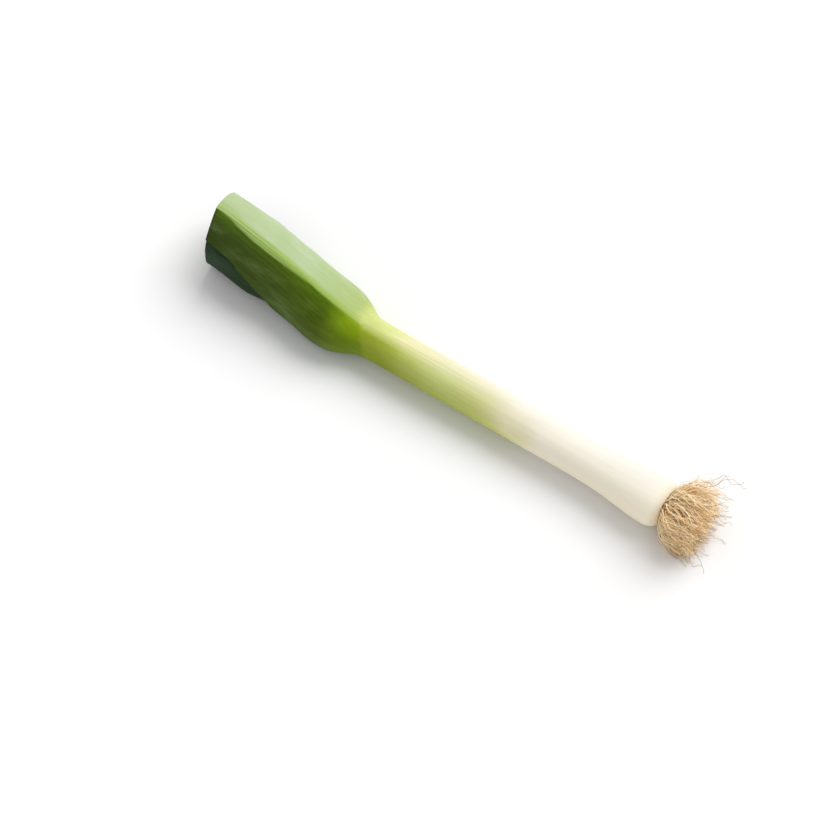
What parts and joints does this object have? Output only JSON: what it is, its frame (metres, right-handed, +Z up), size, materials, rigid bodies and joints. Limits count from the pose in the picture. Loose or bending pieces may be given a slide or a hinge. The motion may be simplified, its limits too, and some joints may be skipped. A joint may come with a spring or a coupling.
{
  "type": "leek",
  "caption": "Trimmed fresh leek lying on its side: white shaft with a small bulb, a fan of nested folded leaves cut square, and a tuft of dry roots.",
  "frame": {"origin": "under the middle of the whole leek, on the surface that it rests on", "axes": "+X along the shaft from the cut leaves towards the roots, +Y across it, +Z up from the surface"},
  "size_m": [0.4548, 0.0672, 0.06],
  "materials": {
    "shaft": "smooth moist skin, creamy white at the bulb turning yellow-green towards the leaves, with fine lengthwise veins",
    "outer_leaves": "waxy dark green blade with a pale bloom, parallel veins and a lighter keel",
    "inner_leaves": "waxy mid green to yellow-green blade with parallel veins and a pale cut edge",
    "roots": "dry straw-coloured root fibres, matt"
  },
  "bodies": {
    "root": {"shaft": "shaft", "leaf_01": "outer_leaves", "leaf_02": "outer_leaves", "leaf_03": "inner_leaves", "leaf_04": "inner_leaves", "leaf_05": "inner_leaves", "leaf_06": "inner_leaves", "leaf_07": "inner_leaves", "leaf_08": "inner_leaves", "roots": "roots"}
  },
  "joints": []
}
